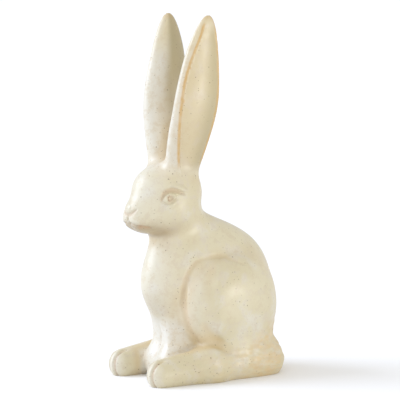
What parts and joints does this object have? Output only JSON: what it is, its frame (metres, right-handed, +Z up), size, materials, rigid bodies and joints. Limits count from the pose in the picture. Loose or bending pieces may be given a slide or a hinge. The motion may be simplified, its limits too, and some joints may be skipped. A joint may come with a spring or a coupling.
{
  "type": "hare figurine",
  "caption": "Seated hare sculpture with tall upright ears, cast in one piece with a cream, amber-edged speckled glaze; stands on its flat underside.",
  "frame": {"origin": "middle of the figure's outline, on the table", "axes": "+Z up, the hare faces -Y, its left side is +X"},
  "size_m": [0.1284, 0.1992, 0.3997],
  "materials": {
    "glaze": "semi-gloss cream stoneware glaze, amber where it thins or pools, fine brown speckle"
  },
  "bodies": {
    "root": {"hare_figure": "glaze"}
  },
  "joints": []
}
